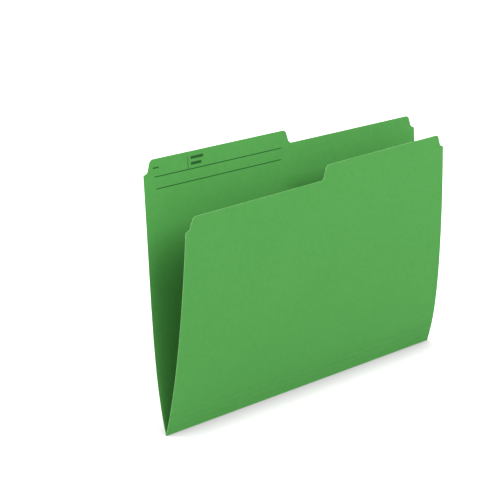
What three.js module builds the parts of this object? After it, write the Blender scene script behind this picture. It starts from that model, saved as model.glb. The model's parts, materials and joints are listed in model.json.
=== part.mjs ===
import * as THREE from 'three';

// A legal size file folder of thin green card, standing half open on its fold.
// One die-cut sheet folds into a tall back leaf with a half-width tab and a shorter front leaf.
// X runs along the fold, the back leaf leans to +Y and the front leaf to -Y, and +Z is up.
// Sizes are in millimetres and angles in degrees, and heights run along the card from the fold.

// The cut sheet
const foldLength = 374.65;
const cardThickness = 0.27;
const backHeight = 228.6;
const frontHeight = 200.4;
const tabRise = 12.7;
const frontRise = 13.5;

// The cut corners: a short sloping shelf, a hollow, a steep slant and a round shoulder
const corner = { depth: 12.7, shelf: 3.2, shelfRise: 1.4, hollow: 2.2, shoulder: 5, slant: 71 };

// The step beside the tab and the like step in the front leaf, and where their middles are in X
const step = { shelf: 0, shelfRise: 0, hollow: 5, shoulder: 5.5, slant: 72 };
const backStepPlace = -1.8;
const frontStepPlace = 0.3;

// The creases: the main fold, and the scores that let the bottom widen
const ridgeRadius = 0.5;
const ridgeSides = 12;
const ridgeClearance = 0.33;
const scoreSpacing = 6.35;
const scoreCount = 3;
const scoreGap = 0.3;

// How the card springs away from its creases: each leaf leans by lean + spring at the fold,
// the spring fades over reach, and curl is the further turn by curlHeight
const frontSet = { lean: 6.3, spring: 11.1, reach: 37.5, curl: -6.6, flatFrom: 240 };
const backSet = { lean: -0.6, spring: 17.3, reach: 59.9, curl: 4.7, flatFrom: 195 };
const curlHeight = 240;

// The front leaf leans this much more at its -X end, and as much less at its +X end
const frontTwist = 2.3;
const twistReach = 15;

// How finely the leaves are divided
const rowsBelowCuts = 16;
const columnsPerHalf = 4;
const arcSteps = 5;
const leastRow = 0.06;
const pathStep = 2;

const radians = THREE.MathUtils.degToRad;

// A material of its own for each piece, all of the same green card
function cardMaterial() {
  return new THREE.MeshStandardMaterial({ color: 0x59a653, roughness: 0.85, metalness: 0 });
}

function piece(name, geometry) {
  const mesh = new THREE.Mesh(geometry, cardMaterial());
  mesh.name = name;
  return mesh;
}

// The lean of a leaf from the vertical at a height along the card
function leanAt(set, height) {
  const h = Math.min(height, set.flatFrom);
  return set.lean + set.spring * Math.exp(-h / set.reach) + (set.curl * h) / curlHeight;
}

// The outline of a rise from one edge up to a higher one, as [run, height] points:
// a shelf, an arc that turns up, a slant, and an arc that turns level again
function risePoints(rise, cut) {
  const turn = radians(cut.slant);
  const points = cut.shelf > 0 ? [[0, 0]] : [];
  for (let i = 0; i <= arcSteps; i++) {
    const a = (turn * i) / arcSteps;
    points.push([cut.shelf + cut.hollow * Math.sin(a), cut.shelfRise + cut.hollow * (1 - Math.cos(a))]);
  }
  const arcsHeight = (cut.hollow + cut.shoulder) * (1 - Math.cos(turn));
  const slantHeight = rise - cut.shelfRise - arcsHeight;
  const [hollowRun, hollowHeight] = points[points.length - 1];
  const run = hollowRun + slantHeight / Math.tan(turn);
  const height = hollowHeight + slantHeight;
  for (let i = arcSteps; i >= 0; i--) {
    const a = (turn * i) / arcSteps;
    const across = Math.sin(turn) - Math.sin(a);
    const up = Math.cos(a) - Math.cos(turn);
    points.push([run + cut.shoulder * across, height + cut.shoulder * up]);
  }
  return points;
}

// The run of a rise's outline at a height: none below it, and all of it above
function runAt(points, height) {
  if (height <= points[0][1]) return points[0][0];
  for (let i = 1; i < points.length; i++) {
    const [run, top] = points[i];
    const [lastRun, lastTop] = points[i - 1];
    if (height <= top) return lastRun + ((run - lastRun) * (height - lastTop)) / (top - lastTop);
  }
  return points[points.length - 1][0];
}

// The flat outline of a leaf. side is -1 where the high half is at -X, and 1 where it is at +X.
function leafOutline(lowHeight, rise, side, stepPlace) {
  const cornerRise = risePoints(corner.depth, corner);
  const stepRise = risePoints(rise, step);
  const stepRun = stepRise[stepRise.length - 1][0];
  const highHeight = lowHeight + rise;
  const topOf = (end) => (end === side ? highHeight : lowHeight);
  const endAt = (end, height) => {
    const inset = runAt(cornerRise, height - (topOf(end) - corner.depth));
    return end * (foldLength / 2 - inset);
  };
  const stepAt = (height) => stepPlace - side * (stepRun / 2 - runAt(stepRise, height - lowHeight));
  const heights = [lowHeight, highHeight];
  cornerRise.forEach(([, up]) => heights.push(lowHeight - corner.depth + up, highHeight - corner.depth + up));
  stepRise.forEach(([, up]) => heights.push(lowHeight + up));
  return { lowHeight, highHeight, side, endAt, stepAt, heights };
}

// The heights of a leaf's rows: closer near the fold, where it bends most, and at every cut's points
function rowHeights(outline, foot) {
  const firstCut = outline.lowHeight - corner.depth;
  const rows = [];
  for (let i = 0; i < rowsBelowCuts; i++) {
    const share = i / rowsBelowCuts;
    rows.push(foot + (firstCut - foot) * share ** 1.4);
  }
  const cuts = [...outline.heights].sort((a, b) => a - b);
  const kept = (h) => h === outline.lowHeight || h === outline.highHeight;
  cuts.forEach((h) => {
    const last = rows[rows.length - 1];
    if (h - last >= leastRow) {
      rows.push(h);
    } else if (kept(h) && !kept(last)) {
      rows[rows.length - 1] = h;
    }
  });
  return rows;
}

// A thin closed sheet over a leaf's outline, bent by bend(x, height), which gives a point of the
// card's middle and the direction across the card
function leafGeometry(outline, foot, bend) {
  const rows = rowHeights(outline, foot);
  const middle = [];
  const faces = [];
  const grid = rows.map((height) => {
    const ends = [outline.endAt(-1, height), outline.stepAt(height), outline.endAt(1, height)];
    const line = {};
    for (let c = 0; c <= 2 * columnsPerHalf; c++) {
      const half = c < columnsPerHalf ? -1 : 1;
      const gone = height > outline.lowHeight + leastRow / 2;
      const inHigh = outline.side < 0 ? c <= columnsPerHalf : c >= columnsPerHalf;
      if (gone && !inHigh) continue;
      const from = half < 0 ? ends[0] : ends[1];
      const to = half < 0 ? ends[1] : ends[2];
      const share = (c - (half < 0 ? 0 : columnsPerHalf)) / columnsPerHalf;
      line[c] = middle.length;
      middle.push(bend(from + (to - from) * share, height));
    }
    return line;
  });
  for (let r = 1; r < rows.length; r++) {
    for (let c = 1; c <= 2 * columnsPerHalf; c++) {
      const corners = [grid[r - 1][c - 1], grid[r - 1][c], grid[r][c], grid[r][c - 1]];
      if (corners.some((k) => k === undefined)) continue;
      const [a, b, d, e] = corners;
      faces.push([a, b, d], [a, d, e]);
    }
  }
  return thicken(middle, faces);
}

// Two faces of the card, half its thickness to each side of the middle, and the rim between them
function thicken(middle, faces) {
  const count = middle.length;
  const positions = [];
  for (const side of [1, -1]) {
    middle.forEach(({ point, across }) => {
      const p = point.clone().addScaledVector(across, (side * cardThickness) / 2);
      positions.push(p.x, p.y, p.z);
    });
  }
  const index = [];
  const edges = new Map();
  faces.forEach(([a, b, c]) => {
    index.push(a, b, c, count + a, count + c, count + b);
    for (const [i, j] of [[a, b], [b, c], [c, a]]) edges.set(`${i} ${j}`, [i, j]);
  });
  edges.forEach(([i, j]) => {
    if (edges.has(`${j} ${i}`)) return;
    index.push(j, i, count + i, j, count + i, count + j);
  });
  const geometry = new THREE.BufferGeometry();
  geometry.setAttribute('position', new THREE.Float32BufferAttribute(positions, 3));
  geometry.setIndex(index);
  geometry.computeVertexNormals();
  return geometry;
}

// The bent middle of a leaf in the frame of its own crease, whose card starts out along +Z.
// start is the crease's height, startLean the lean of that frame, and way is 1 or -1 for a leaf
// that leans to -Y or +Y.
function bentLeaf(set, start, startLean, way, twist) {
  return (x, height) => {
    const steps = Math.max(1, Math.ceil((height - start) / pathStep));
    const run = (height - start) / steps;
    const leanHere = (h) => {
      const widen = twist * (1 - Math.exp(-(h - start) / twistReach)) * ((-2 * x) / foldLength);
      return radians(way * (leanAt(set, h) + widen - startLean));
    };
    const point = new THREE.Vector3(x, 0, 0);
    for (let i = 0; i < steps; i++) {
      const lean = leanHere(start + run * (i + 0.5));
      point.y -= run * Math.sin(lean);
      point.z += run * Math.cos(lean);
    }
    const lean = leanHere(height);
    const across = new THREE.Vector3(0, -Math.cos(lean), -Math.sin(lean));
    return { point, across };
  };
}

// The back leaf stands on the main fold, with the tab on its -X half
function makeBackLeaf() {
  const outline = leafOutline(backHeight, tabRise, -1, backStepPlace);
  const startLean = leanAt(backSet, 0);
  const foot = ridgeRadius + ridgeClearance;
  const hinge = new THREE.Group();
  hinge.rotation.x = -radians(startLean);
  hinge.add(piece('back_leaf', leafGeometry(outline, foot, bentLeaf(backSet, 0, startLean, -1, 0))));
  return hinge;
}

// The pressed, rounded card of the main fold, which the folder stands on with a flat facet
function makeFoldRidge() {
  const cornerRadius = ridgeRadius / Math.cos(Math.PI / ridgeSides);
  const geometry = new THREE.CylinderGeometry(
    cornerRadius, cornerRadius, foldLength, ridgeSides, 1, false, Math.PI / ridgeSides);
  geometry.rotateZ(Math.PI / 2);
  return piece('fold_ridge', geometry);
}

// The front side hangs from the main fold: each narrow strip turns about the score below it,
// and the front leaf about the last score
function makeFrontSide() {
  const mainFold = new THREE.Group();
  let hinge = mainFold;
  let lean = 0;
  for (let i = 0; i < scoreCount; i++) {
    const nextLean = leanAt(frontSet, (i + 0.5) * scoreSpacing);
    hinge.rotation.x = radians(nextLean - lean);
    lean = nextLean;
    const foot = i === 0 ? ridgeRadius + ridgeClearance : scoreGap / 2;
    const top = scoreSpacing - scoreGap / 2;
    const strip = piece(`fold_strip_${i + 1}`, new THREE.BoxGeometry(foldLength, cardThickness, top - foot));
    strip.position.z = (foot + top) / 2;
    const score = new THREE.Group();
    score.position.z = scoreSpacing;
    hinge.add(strip, score);
    hinge = score;
  }
  const outline = leafOutline(frontHeight, frontRise, 1, frontStepPlace);
  const start = scoreCount * scoreSpacing;
  const bend = bentLeaf(frontSet, start, lean, 1, frontTwist);
  hinge.add(piece('front_leaf', leafGeometry(outline, start + scoreGap / 2, bend)));
  return mainFold;
}

const folder = new THREE.Group();
folder.position.z = ridgeRadius;
folder.add(makeBackLeaf(), makeFoldRidge(), makeFrontSide());

export default folder;
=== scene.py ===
import json
import math

import bpy
import numpy as np
from mathutils import Matrix, Vector


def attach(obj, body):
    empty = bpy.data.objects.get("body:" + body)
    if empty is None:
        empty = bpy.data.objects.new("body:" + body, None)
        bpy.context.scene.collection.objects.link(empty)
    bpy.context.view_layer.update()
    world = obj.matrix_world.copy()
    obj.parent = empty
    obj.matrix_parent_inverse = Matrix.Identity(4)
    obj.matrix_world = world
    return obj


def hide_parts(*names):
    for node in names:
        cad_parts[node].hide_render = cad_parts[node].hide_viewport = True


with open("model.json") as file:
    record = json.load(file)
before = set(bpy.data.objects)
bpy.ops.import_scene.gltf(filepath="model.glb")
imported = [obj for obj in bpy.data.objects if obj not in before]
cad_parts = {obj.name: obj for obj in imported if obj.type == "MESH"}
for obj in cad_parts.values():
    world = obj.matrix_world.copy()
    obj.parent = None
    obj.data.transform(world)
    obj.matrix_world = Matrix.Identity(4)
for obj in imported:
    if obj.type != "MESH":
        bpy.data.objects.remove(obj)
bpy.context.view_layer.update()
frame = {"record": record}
mm = 0.001


class Wire:  # one output socket; sums and products of wires add Math nodes
    def __init__(self, graph, socket):
        self.graph = graph
        self.socket = socket

    def __add__(self, other):
        return self.graph.math("ADD", self, other)

    def __sub__(self, other):
        return self.graph.math("SUBTRACT", self, other)

    def __mul__(self, other):
        return self.graph.math("MULTIPLY", self, other)

    def __truediv__(self, other):
        return self.graph.math("DIVIDE", self, other)

    def __rsub__(self, other):
        return self.graph.math("SUBTRACT", other, self)

    def __neg__(self):
        return self * -1

    __radd__ = __add__
    __rmul__ = __mul__


class Graph:  # a node tree that is being built
    def __init__(self, tree):
        self.tree = tree

    def node(self, kind, settings=None, sockets=None, output=0):
        made = self.tree.nodes.new(kind)
        for name, value in (settings or {}).items():
            setattr(made, name, value)
        for key, value in (sockets or {}).items():
            self.plug(made.inputs[key], value)
        return Wire(self, made.outputs[output]) if made.outputs else made

    def plug(self, socket, value):
        if isinstance(value, Wire):
            self.tree.links.new(value.socket, socket)
        else:
            socket.default_value = value

    def math(self, operation, *values):
        return self.node("ShaderNodeMath", {"operation": operation}, dict(enumerate(values)))

    def mix(self, share, low, high, blend="MIX"):
        settings = {"data_type": "RGBA", "blend_type": blend}
        return self.node("ShaderNodeMix", settings, {0: share, 6: low, 7: high}, 2)

    def between(self, value, low, high):  # 0 at low, 1 at high, eased and held outside
        settings = {"interpolation_type": "SMOOTHSTEP"}
        return self.node("ShaderNodeMapRange", settings, {0: value, 1: low, 2: high, 3: 0.0, 4: 1.0})

    def noise(self, coordinates, scale, detail, roughness):
        sockets = {"Vector": coordinates, "Scale": scale, "Detail": detail, "Roughness": roughness}
        return self.node("ShaderNodeTexNoise", {"noise_dimensions": "3D"}, sockets)


card = {  # each noise as scale per metre, detail and roughness
    "green": (0.073, 0.308, 0.062),  # for a plain view; the finish mixes the next two
    "paler": (0.081, 0.323, 0.069),  # where the pulp took less dye
    "deeper": (0.066, 0.293, 0.056),
    "cloud": (14.0, 3.0, 0.5),  # soft blotches of the dye
    "pulp": (196.0, 4.0, 0.6),
    "fibre": (900.0, 5.0, 0.65),
    "fibreStretch": (0.35, 1.0, 1.0),  # the fibres are longer along X
    "shadeShares": (0.2, 0.35, 0.45),  # of cloud, pulp and fibre
    "shadeRange": (0.3, 0.7),
    "wornAndHighlit": (0.200, 0.480, 0.170),  # the band beside an edge: rubbed wear, and a painted highlight of the edge catching the light
    "wearHighlightWidth": 0.8,  # mm
    "wearHighlightShare": 0.55,
    "wearHighlightFibre": 0.6,  # how far the fibres break it up
    "wearHighlightRange": (0.55, 1.0),
    "scoreHalf": 0.4,  # mm, half the width of a pressed score
    # how far a score is darkened towards black: painted shade in the pressed groove
    "scoreShade": 0.08,
    "scoreDepth": 8.0,  # times the shade
    "relief": 0.048,  # mm
    "reliefShares": (0.7, 0.3),  # of fibre and pulp
    "bumpStrength": 0.35,
    "roughness": 0.82,
    "fibreGloss": 0.06,
    "wearDullness": 0.05,
    "specular": 0.25,
}
cutEdge = {
    "colour": (0.420, 0.720, 0.360),  # the sheared pulp, made paler still as a painted highlight where the cut edge catches the light
    "pulp": (900.0, 4.0, 0.6),
    "colourRange": (0.3, 0.7),
    "relief": 0.072,  # mm
    "bumpStrength": 0.4,
    "roughness": 0.85,
    "pulpRoughness": 0.1,
    "specular": 0.2,
}
ink = {
    "colour": (0.006, 0.085, 0.008),
    "thin": (0.018, 0.135, 0.017),  # where it lies thin over the fibres
    "thinRange": (0.5, 0.8),
    "mottle": (1500.0, 4.0, 0.6),
    "relief": 0.012,  # mm
    "bumpStrength": 0.2,
    "roughness": 0.62,
    "mottleRoughness": 0.1,
    "specular": 0.3,
}


def newMaterial(name, viewColour):
    material = bpy.data.materials.new(name)
    material.use_nodes = True
    material.diffuse_color = (*viewColour, 1)
    material.node_tree.nodes.clear()
    return material, Graph(material.node_tree)


def finishMaterial(graph, finish, colour, roughness, height):
    sockets = {"Strength": finish["bumpStrength"], "Distance": finish["relief"] * mm, "Height": height}
    sockets = {
        "Base Color": colour,
        "Roughness": roughness,
        "Normal": graph.node("ShaderNodeBump", None, sockets),
        "Specular IOR Level": finish["specular"],
    }
    shader = graph.node("ShaderNodeBsdfPrincipled", None, sockets)
    graph.node("ShaderNodeOutputMaterial", None, {"Surface": shader})


def makeCardFinish():
    material, graph = newMaterial("green card", card["green"])
    coordinates = graph.node("ShaderNodeTexCoord", None, None, "Object")
    cloud = graph.noise(coordinates, *card["cloud"])
    pulp = graph.noise(coordinates, *card["pulp"])
    sockets = {"Vector": coordinates, "Scale": card["fibreStretch"]}
    fibre = graph.noise(graph.node("ShaderNodeMapping", None, sockets), *card["fibre"])
    cloudShare, pulpShare, fibreShare = card["shadeShares"]
    shade = graph.between(cloud * cloudShare + pulp * pulpShare + fibre * fibreShare, *card["shadeRange"])
    dyed = graph.mix(shade, (*card["deeper"], 1), (*card["paler"], 1))
    # a paler band beside each cut edge: partly rubbed wear, partly a painted highlight where the edge
    # catches the light
    edge = graph.node("ShaderNodeAttribute", {"attribute_name": "edgeDistance"}, None, "Fac")
    nearEdge = 1 - graph.between(edge, 0.0, card["wearHighlightWidth"] * mm)
    broken = graph.between(pulp + fibre * card["wearHighlightFibre"], *card["wearHighlightRange"])
    wearAndHighlight = nearEdge * card["wearHighlightShare"] * broken
    # each score darkened towards black: painted shade in the groove, which also sinks the bump
    score = graph.node("ShaderNodeAttribute", {"attribute_name": "scoreDistance"}, None, "Fac")
    paintedScoreShade = (1 - graph.between(score, 0.0, card["scoreHalf"] * mm)) * card["scoreShade"]
    colour = graph.mix(paintedScoreShade, graph.mix(wearAndHighlight, dyed, (*card["wornAndHighlit"], 1)), (0, 0, 0, 1))
    roughness = card["roughness"] - card["fibreGloss"] * fibre + card["wearDullness"] * wearAndHighlight
    fibreShare, pulpShare = card["reliefShares"]
    height = fibre * fibreShare + pulp * pulpShare - paintedScoreShade * card["scoreDepth"]
    finishMaterial(graph, card, colour, roughness, height)
    return material


def makeCutFinish():
    material, graph = newMaterial("cut edge", cutEdge["colour"])
    coordinates = graph.node("ShaderNodeTexCoord", None, None, "Object")
    pulp = graph.noise(coordinates, *cutEdge["pulp"])
    share = graph.between(pulp, *cutEdge["colourRange"])
    # from the edge band's colour to the cut's own pale colour, both partly painted highlight
    colour = graph.mix(share, (*card["wornAndHighlit"], 1), (*cutEdge["colour"], 1))
    roughness = cutEdge["roughness"] + cutEdge["pulpRoughness"] * pulp
    finishMaterial(graph, cutEdge, colour, roughness, pulp)
    return material


def makeInkFinish():
    material, graph = newMaterial("tab print", ink["colour"])
    coordinates = graph.node("ShaderNodeTexCoord", None, None, "Object")
    mottle = graph.noise(coordinates, *ink["mottle"])
    share = graph.between(mottle, *ink["thinRange"])
    colour = graph.mix(share, (*ink["colour"], 1), (*ink["thin"], 1))
    roughness = ink["roughness"] + ink["mottleRoughness"] * mottle
    finishMaterial(graph, ink, colour, roughness, mottle)
    return material


cardFinish = makeCardFinish()
cutFinish = makeCutFinish()
inkFinish = makeInkFinish()
print("finishes made")

sheet = {  # mm and degrees, as in the frame; heights run along the card from the main fold
    "foldLength": 374.65,
    "thickness": 0.27,
    "axisHeight": 0.5,  # also the radius of the rounded fold, which stands on the floor
    "scores": 3,
    "scoreSpacing": 6.35,
    "scoreGap": 0.08,  # room for the card to turn at a score
    "rowSpacing": 2.2,
    "columnSpacing": 5.0,
    "leastRow": 0.03,
    "stripRows": 7,
    "closeRows": (0.3, 0.8, 1.6),  # rows and columns this near to a cut edge carry its wear
    "scoreRows": (0.15, 0.4),  # and rows this near to a score carry its groove
    "farAway": 1000.0,  # the distance stored where there is no cut or score
    "arcSteps": 12,
    "bendSteps": 64,
    "ridgeSides": 40,
    "sharpFrom": 40,  # an edge that turns by more than this is shaded sharp
}
halfLength = sheet["foldLength"] / 2
cornerCut = {"depth": 12.7, "shelf": 3.2, "shelfRise": 1.4, "hollow": 2.2, "shoulder": 5, "slant": 71}
stepCut = {"shelf": 0, "shelfRise": 0, "hollow": 5, "shoulder": 5.5, "slant": 72}

backLeaf = {
    "lowHeight": 228.6,
    "rise": 12.7,
    "highEnd": -1,  # the tab is at -X
    "stepPlace": -1.8,
    "bend": {"Lean": -0.6, "Spring": 17.3, "Reach": 59.9, "Curl": 4.7, "Flat From": 195, "Way": -1},
}
frontLeaf = {
    "lowHeight": 200.4,
    "rise": 13.5,
    "highEnd": 1,
    "stepPlace": 0.3,
    "bend": {
        "Lean": 6.3, "Spring": 11.1, "Reach": 37.5, "Curl": -6.6, "Flat From": 240, "Way": 1, "Twist": 2.3,
    },
}
bendSizes = {"Curl Height": 240, "Twist From": 19.05, "Twist Reach": 15}  # it twists from the last score
distances = (
    "Axis Height", "Reach", "Curl Height", "Flat From", "Twist From", "Twist Reach", "Half Length",
    "Thickness", "Lift",
)
angles = ("Lean", "Spring", "Curl", "Twist")


def newTree(name, result, inputs):  # a modifier's tree, its graph, and its inputs by name
    tree = bpy.data.node_groups.new(name, "GeometryNodeTree")
    tree.is_modifier = True
    for kind, names in inputs.items():
        for given in names:
            tree.interface.new_socket(given, in_out="INPUT", socket_type=f"NodeSocket{kind}")
    tree.interface.new_socket(result, in_out="OUTPUT", socket_type="NodeSocketGeometry")
    graph = Graph(tree)
    entry = graph.node("NodeGroupInput").socket.node
    return tree, graph, {socket.name: Wire(graph, socket) for socket in entry.outputs if socket.name}


def sharpened(graph, geometry):
    turned = graph.node("GeometryNodeInputMeshEdgeAngle")
    creased = graph.math("GREATER_THAN", turned, math.radians(sheet["sharpFrom"]))
    sockets = {"Geometry": geometry, "Selection": creased, "Shade Smooth": False}
    return graph.node("GeometryNodeSetShadeSmooth", {"domain": "EDGE"}, sockets)


def faced(graph, geometry, material):
    real = graph.node("GeometryNodeRealizeInstances", None, {"Geometry": geometry})
    return graph.node("GeometryNodeSetMaterial", None, {"Geometry": real, "Material": material})


def makeBendTree():
    inputs = {
        "Geometry": ("Card",),
        "Float": (*distances, *angles, "Way"),
        "Int": ("Steps",),
        "Material": ("Face", "Cut Edge"),
    }
    tree, graph, given = newTree("bend card", "Card", inputs)

    def stored(name, kind="FLOAT"):
        return graph.node("GeometryNodeInputNamedAttribute", {"data_type": kind}, {"Name": name})

    def moved(geometry, socket, value):
        return graph.node("GeometryNodeSetPosition", None, {"Geometry": geometry, socket: value})

    def vector(x, y, z):
        return graph.node("ShaderNodeCombineXYZ", None, {"X": x, "Y": y, "Z": z})

    height = stored("height")
    x = graph.node("ShaderNodeSeparateXYZ", None, {0: graph.node("GeometryNodeInputPosition")})

    def leanAt(h):  # radians, towards -Y
        held = graph.math("MINIMUM", h, given["Flat From"])
        spring = given["Spring"] * graph.math("EXPONENT", -held / given["Reach"])
        curl = given["Curl"] * held / given["Curl Height"]
        beyond = graph.math("MAXIMUM", h - given["Twist From"], 0.0)
        widen = given["Twist"] * (1 - graph.math("EXPONENT", -beyond / given["Twist Reach"]))
        lean = given["Lean"] + spring + curl - widen * x / given["Half Length"]
        return lean * given["Way"] * math.radians(1)

    laid = moved(given["Card"], "Position", vector(x, 0.0, given["Axis Height"]))
    loopIn = graph.node("GeometryNodeRepeatInput").socket.node
    loopOut = graph.node("GeometryNodeRepeatOutput").socket.node
    loopIn.pair_with_output(loopOut)
    graph.plug(loopIn.inputs["Iterations"], given["Steps"])
    graph.plug(loopIn.inputs["Geometry"], laid)
    run = height / given["Steps"]
    lean = leanAt(run * (Wire(graph, loopIn.outputs["Iteration"]) + 0.5))  # at the middle of each step
    step = vector(0.0, -run * graph.math("SINE", lean), run * graph.math("COSINE", lean))
    graph.plug(loopOut.inputs["Geometry"], moved(Wire(graph, loopIn.outputs["Geometry"]), "Offset", step))
    bent = Wire(graph, loopOut.outputs["Geometry"])
    endLean = leanAt(height)
    out = -(stored("side") * given["Thickness"] + given["Lift"])
    across = vector(0.0, out * graph.math("COSINE", endLean), out * graph.math("SINE", endLean))
    shell = faced(graph, sharpened(graph, moved(bent, "Offset", across)), given["Face"])
    sockets = {"Geometry": shell, "Selection": stored("rim", "BOOLEAN"), "Material": given["Cut Edge"]}
    edged = graph.node("GeometryNodeSetMaterial", None, sockets)
    graph.node("NodeGroupOutput", None, {"Card": edged})
    return tree


def makeRidgeTree():
    inputs = {"Vector": ("Start", "End"), "Float": ("Radius",), "Int": ("Sides",), "Material": ("Face",)}
    tree, graph, given = newTree("fold ridge", "Ridge", inputs)
    sockets = {"Start": given["Start"], "End": given["End"]}
    line = graph.node("GeometryNodeCurvePrimitiveLine", None, sockets)
    sockets = {"Resolution": given["Sides"], "Radius": given["Radius"]}
    circle = graph.node("GeometryNodeCurvePrimitiveCircle", None, sockets)
    sockets = {"Curve": line, "Profile Curve": circle, "Fill Caps": True}
    bar = sharpened(graph, graph.node("GeometryNodeCurveToMesh", None, sockets))
    for name in ("edgeDistance", "scoreDistance"):  # the ridge has no rubbed and highlit edge band, and no score groove with its painted shade
        sockets = {"Geometry": bar, "Name": name, "Value": sheet["farAway"] * mm}
        bar = graph.node("GeometryNodeStoreNamedAttribute", None, sockets)
    graph.node("NodeGroupOutput", None, {"Ridge": faced(graph, bar, given["Face"])})
    return tree


def shaped(name, mesh, tree, inputs):  # the tree's result as a plain mesh in an object at the origin
    piece = bpy.data.objects.new(name, mesh)
    bpy.context.scene.collection.objects.link(piece)
    modifier = piece.modifiers.new("shape", "NODES")
    modifier.node_group = tree
    for item in tree.interface.items_tree:
        if item.in_out == "INPUT" and item.name in inputs:
            modifier[item.identifier] = inputs[item.name]
    settled = bpy.context.evaluated_depsgraph_get()
    finished = bpy.data.meshes.new_from_object(
        piece.evaluated_get(settled), preserve_all_data_layers=True, depsgraph=settled)
    piece.modifiers.clear()
    piece.data = finished
    return piece


def bentCard(name, mesh, bend, thickness=sheet["thickness"], lift=0.0, face=cardFinish, cut=cutFinish):
    inputs = {
        "Twist": 0.0,
        **bendSizes,
        **bend,
        "Axis Height": sheet["axisHeight"],
        "Half Length": halfLength,
        "Thickness": thickness,
        "Lift": lift,
    }
    inputs = {key: value * mm if key in distances else float(value) for key, value in inputs.items()}
    inputs |= {"Steps": sheet["bendSteps"], "Face": face, "Cut Edge": cut}
    return shaped(name, mesh, bendTree, inputs)


def risePoints(rise, cut):  # a shelf, an arc that turns up, a slant, and an arc that turns level again
    turn = math.radians(cut["slant"])
    steps = sheet["arcSteps"]
    points = [(0, 0)] if cut["shelf"] > 0 else []
    for i in range(steps + 1):
        a = turn * i / steps
        across = cut["hollow"] * math.sin(a)
        up = cut["hollow"] * (1 - math.cos(a))
        points.append((cut["shelf"] + across, cut["shelfRise"] + up))
    slantHeight = rise - cut["shelfRise"] - (cut["hollow"] + cut["shoulder"]) * (1 - math.cos(turn))
    run = points[-1][0] + slantHeight / math.tan(turn)
    height = points[-1][1] + slantHeight
    for i in range(steps, -1, -1):
        a = turn * i / steps
        across = cut["shoulder"] * (math.sin(turn) - math.sin(a))
        up = cut["shoulder"] * (math.cos(a) - math.cos(turn))
        points.append((run + across, height + up))
    return points


def runAt(points, height):
    return float(np.interp(height, [p[1] for p in points], [p[0] for p in points]))


def spread(low, high, spacing, near=()):  # even places from low to high, and some near each end
    room = 2 * max(near, default=0)
    count = max(1, round((high - low) / spacing))
    inner = np.linspace(low, high, count + 1)[1:-1]
    places = [low, high, *(low + d for d in near), *(high - d for d in near)]
    places += [p for p in inner if p - low > room and high - p > room]
    return sorted(places)


def leafRows(leaf, foot):  # (height, x of each column) for every row; None where a row has no card
    low = leaf["lowHeight"]
    high = low + leaf["rise"]
    end = leaf["highEnd"]
    tops = {end: high, -end: low}
    cornerRise = risePoints(cornerCut["depth"], cornerCut)
    stepRise = risePoints(leaf["rise"], stepCut)
    stepRun = stepRise[-1][0]
    heights = {foot, low, high, *(foot + d for d in sheet["scoreRows"])}
    heights.update(spread(foot, low - cornerCut["depth"], sheet["rowSpacing"]))
    for top in (low, high):
        heights.update(top - d for d in sheet["closeRows"])
        heights.update(top - cornerCut["depth"] + up for _, up in cornerRise)
    heights.update(low + up for _, up in stepRise)
    shares = [p / halfLength for p in spread(0, halfLength, sheet["columnSpacing"], sheet["closeRows"])]
    rows = []
    for height in sorted(heights):
        if rows and height - rows[-1][0] < sheet["leastRow"]:
            if height not in (low, high):
                continue
            rows.pop()
        runs = {s: runAt(cornerRise, height - tops[s] + cornerCut["depth"]) for s in (-1, 1)}
        start, stop = (s * (halfLength - runs[s]) for s in (-1, 1))
        step = leaf["stepPlace"] - end * (stepRun / 2 - runAt(stepRise, height - low))
        left = [start + (step - start) * share for share in shares]
        right = [step + (stop - step) * share for share in shares[1:]]
        if height > low and end < 0:
            right = [None] * len(right)
        if height > low and end > 0:
            left = [None] * (len(left) - 1) + left[-1:]
        rows.append((height, left + right))
    return rows


def panelRows(foot, top):
    columns = spread(-halfLength, halfLength, sheet["columnSpacing"], sheet["closeRows"])
    heights = [*np.linspace(foot, top, sheet["stripRows"])]
    heights += [foot + d for d in sheet["scoreRows"]]
    heights += [top - d for d in sheet["scoreRows"]]
    return [(height, columns) for height in sorted(heights)]


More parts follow.
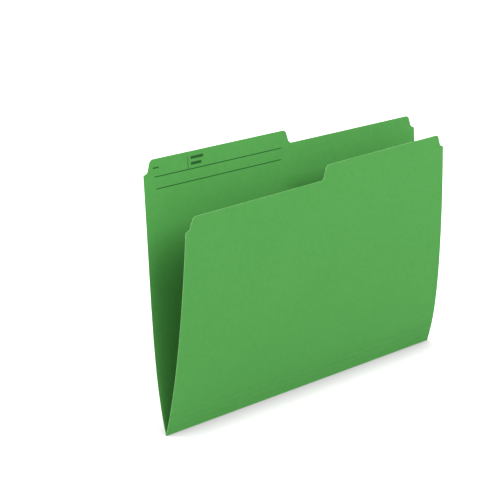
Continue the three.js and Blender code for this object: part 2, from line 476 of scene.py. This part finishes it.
def flatCard(name, rows, hingeRows, scored=()):  # a closed flat card in XZ; hingeRows aren't cut edges
    flat = []
    ids = []
    for r, (height, columns) in enumerate(rows):
        line = {}
        for c, x in enumerate(columns):
            if x is not None:
                line[c] = len(flat)
                flat.append((x, height, r))
        ids.append(line)
    quads = []
    for r in range(1, len(rows)):
        for c in range(1, len(rows[r][1])):
            corners = [ids[r - 1].get(c - 1), ids[r - 1].get(c), ids[r].get(c), ids[r].get(c - 1)]
            if None not in corners:
                quads.append(corners)
    edges = {(q[i], q[(i + 1) % 4]) for q in quads for i in range(4)}
    border = [(i, j) for i, j in edges if (j, i) not in edges]
    cut = {(i, j) for i, j in border if not (flat[i][2] == flat[j][2] and flat[i][2] in hingeRows)}
    spots = np.array([(x, h) for x, h, _ in flat])
    nearest = np.full(len(flat), sheet["farAway"])
    for i, j in cut:
        along = spots[j] - spots[i]
        t = np.clip((spots - spots[i]) @ along / (along @ along), 0, 1)
        nearest = np.minimum(nearest, np.linalg.norm(spots - spots[i] - t[:, None] * along, axis=1))
    toScore = [min([abs(h - s) for s in scored], default=sheet["farAway"]) for _, h, _ in flat]
    count = len(flat)
    vertices = [(x * mm, 0, h * mm) for x, h, _ in flat] * 2
    faces = [*quads]
    faces += [[count + k for k in reversed(q)] for q in quads]
    faces += [[j, i, count + i, count + j] for i, j in border]
    mesh = bpy.data.meshes.new(name)
    mesh.from_pydata(vertices, [], faces)
    mesh.shade_smooth()
    values = {
        "height": [h * mm for _, h, _ in flat] * 2,
        "side": [0.5] * count + [-0.5] * count,
        "edgeDistance": list(nearest * mm) * 2,
        "scoreDistance": [d * mm for d in toScore] * 2,
    }
    for key, numbers in values.items():
        mesh.attributes.new(key, "FLOAT", "POINT").data.foreach_set("value", numbers)
    rim = [False] * (2 * len(quads)) + [edge in cut for edge in border]
    mesh.attributes.new("rim", "BOOLEAN", "FACE").data.foreach_set("value", rim)
    return mesh


bendTree = makeBendTree()
ridgeTree = makeRidgeTree()
bodyOf = {node: body for body, nodes in frame["record"]["behaviour"]["bodies"].items() for node in nodes}


def place(piece, node, stands=True):  # the piece rides with a CAD node's body, and stands for the node
    if stands:
        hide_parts(node)
    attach(piece, bodyOf[node])


backCard = flatCard("back leaf", leafRows(backLeaf, 0), {0})
place(bentCard("back_leaf_card", backCard, backLeaf["bend"]), "back_leaf")
scoreHeights = [sheet["scoreSpacing"] * number for number in range(1, sheet["scores"] + 1)]
scoreRoom = sheet["scoreGap"] / 2
foot = 0
for number, score in enumerate(scoreHeights, 1):
    rows = panelRows(foot, score - scoreRoom)
    strip = flatCard(f"strip {number}", rows, {0, len(rows) - 1}, scoreHeights)
    place(bentCard(f"fold_strip_{number}_card", strip, frontLeaf["bend"]), f"fold_strip_{number}")
    foot = score + scoreRoom
frontCard = flatCard("front leaf", leafRows(frontLeaf, foot), {0}, scoreHeights)
place(bentCard("front_leaf_card", frontCard, frontLeaf["bend"]), "front_leaf")
ridge = {
    "Start": (-halfLength * mm, 0, sheet["axisHeight"] * mm),
    "End": (halfLength * mm, 0, sheet["axisHeight"] * mm),
    "Radius": sheet["axisHeight"] * mm,
    "Sides": sheet["ridgeSides"],
    "Face": cardFinish,
}
place(shaped("fold_ridge_card", bpy.data.meshes.new("ridge"), ridgeTree, ridge), "fold_ridge")
print("card made")

tabPrint = {  # mm: places from the card's -X end, and drops from the tab's top edge
    "film": 0.03,
    "rules": [(13.2, 176.6, 15.7, 0.85), (14.3, 175.9, 26.2, 0.85)],  # from, to, drop, width
    "divider": (54.5, 4.2, 15.7, 0.7),  # place, drop of the top, drop of the foot, width
    "bars": {  # from, to, drop of the top, height
        "inner": [(11.8, 18.6, 7.2, 1.3), (58.2, 73.9, 4.6, 2.6), (58.2, 71.3, 9.8, 2.6)],
        "outer": [(42.2, 49.0, 7.2, 1.3), (162.5, 178.2, 4.6, 2.6), (165.1, 178.2, 9.8, 2.6)],
    },
}


def barRows(left, right, foot, top):
    columns = np.linspace(left, right, max(2, round((right - left) / sheet["columnSpacing"])))
    return [(height, columns) for height in (foot, top)]


def printFace(face, way):  # way is 1 on the face towards the front leaf, and -1 on the other
    tabTop = backLeaf["lowHeight"] + backLeaf["rise"]
    boxes = []
    for a, b, drop, width in tabPrint["rules"]:
        boxes.append((a, b, tabTop - drop - width / 2, tabTop - drop + width / 2))
    for a, b, drop, tall in tabPrint["bars"][face]:
        boxes.append((a, b, tabTop - drop - tall, tabTop - drop))
    at, top, foot, width = tabPrint["divider"]
    boxes.append((at - width / 2, at + width / 2, tabTop - foot, tabTop - top))
    lift = way * (sheet["thickness"] / 2 + tabPrint["film"] / 2)
    finishes = {"face": inkFinish, "cut": inkFinish}
    parts = []
    for number, (a, b, foot, top) in enumerate(boxes):
        rows = barRows(a - halfLength, b - halfLength, foot, top)
        flat = flatCard(f"{face} print {number}", rows, set())
        name = f"tab_print_{face}_{number}"
        parts.append(bentCard(name, flat, backLeaf["bend"], tabPrint["film"], lift, **finishes))
    with bpy.context.temp_override(active_object=parts[0], selected_editable_objects=parts):
        bpy.ops.object.join()
    parts[0].name = f"tab_print_{face}"
    return parts[0]


for face, way in (("inner", 1), ("outer", -1)):
    place(printFace(face, way), "back_leaf", stands=False)
print("printing made")

studio = {  # metres and degrees
    "floorSize": 14.0,
    "floorColour": (0.93, 0.93, 0.93),
    "floorGlow": 0.42,  # the sweep is overexposed, as in a product picture
    "floorBounce": (0.5, 0.5, 0.5),  # what it throws back onto the card
    "contactReach": 0.05,
    "contactSamples": 16,
    "contactShade": (0.20, 0.12, 0.20),  # takes off some of the green that the card throws down
    "sky": 0.85,
    "lamps": {  # azimuth from the front towards +X, elevation, width and power
        "key": (8, 39, 42, 1.7),
        "side": (-80, 12, 40, 1.4),
        "back": (172, 34, 60, 1.3),
    },
}


def makeFloor():
    s = studio["floorSize"] / 2
    mesh = bpy.data.meshes.new("floor")
    mesh.from_pydata([(-s, -s, 0), (s, -s, 0), (s, s, 0), (-s, s, 0)], [], [(0, 1, 2, 3)])
    floor = bpy.data.objects.new("floor", mesh)
    bpy.context.scene.collection.objects.link(floor)
    material, graph = newMaterial("pale floor", studio["floorColour"])
    settings = {"samples": studio["contactSamples"]}
    sockets = {"Distance": studio["contactReach"]}
    openness = graph.node("ShaderNodeAmbientOcclusion", settings, sockets, "AO")
    shade = graph.mix(openness, (*studio["contactShade"], 1), (1, 1, 1, 1))
    tint = graph.mix(1.0, shade, (*studio["floorColour"], 1), "MULTIPLY")
    pale = graph.node("ShaderNodeBsdfDiffuse", None, {"Color": tint})
    glow = graph.node("ShaderNodeEmission", None, {"Color": shade, "Strength": studio["floorGlow"]})
    seen = graph.node("ShaderNodeAddShader", None, {0: pale, 1: glow})
    thrown = graph.node("ShaderNodeBsdfDiffuse", None, {"Color": (*studio["floorBounce"], 1)})
    direct = graph.node("ShaderNodeLightPath", None, None, "Is Camera Ray")
    shader = graph.node("ShaderNodeMixShader", None, {0: direct, 1: thrown, 2: seen})
    graph.node("ShaderNodeOutputMaterial", None, {"Surface": shader})
    mesh.materials.append(material)


def makeSky():
    world = bpy.data.worlds.new("studio")
    bpy.context.scene.world = world
    world.use_nodes = True
    world.node_tree.nodes.clear()
    graph = Graph(world.node_tree)
    sky = graph.node("ShaderNodeBackground", None, {"Color": (1, 1, 1, 1), "Strength": studio["sky"]})
    graph.node("ShaderNodeOutputWorld", None, {"Surface": sky})


def direction(azimuth, elevation):  # towards a place at these angles, as seen from the folder
    az = math.radians(azimuth)
    el = math.radians(elevation)
    return Vector((math.sin(az) * math.cos(el), -math.cos(az) * math.cos(el), math.sin(el)))


def makeLamps():
    for name, (azimuth, elevation, width, power) in studio["lamps"].items():
        light = bpy.data.lights.new(name, "SUN")
        light.angle = math.radians(width)
        light.energy = power
        holder = bpy.data.objects.new(name, light)
        bpy.context.scene.collection.objects.link(holder)
        holder.rotation_euler = direction(azimuth, elevation).to_track_quat("Z", "Y").to_euler()


view = {  # mm and degrees
    "azimuth": -47.90,
    "elevation": 14.91,
    "roll": 0.09,
    "aim": (0, 0, 120.5),
    "right": -53.0,
    "up": 9.5,
    "distance": 1789.0,
    "focal": 139.824,
    "sensor": 36,
}


def makeCamera():
    roll = math.radians(view["roll"])
    back = direction(view["azimuth"], view["elevation"])
    right = (-back).cross(Vector((0, 0, 1))).normalized()
    up = right.cross(-back)
    data = bpy.data.cameras.new("camera")
    data.sensor_width = view["sensor"]
    data.lens = view["focal"]
    camera = bpy.data.objects.new("camera", data)
    bpy.context.scene.collection.objects.link(camera)
    spot = Vector(view["aim"]) + right * view["right"] + up * view["up"] + back * view["distance"]
    rolledRight = right * math.cos(roll) + up * math.sin(roll)
    rolledUp = up * math.cos(roll) - right * math.sin(roll)
    turn = Matrix((rolledRight, rolledUp, back)).transposed()
    camera.matrix_world = Matrix.Translation(spot * mm) @ turn.to_4x4()
    bpy.context.scene.camera = camera


makeFloor()
makeSky()
makeLamps()
makeCamera()
bpy.context.scene.view_settings.view_transform = "Standard"
print("floor, light and camera made")
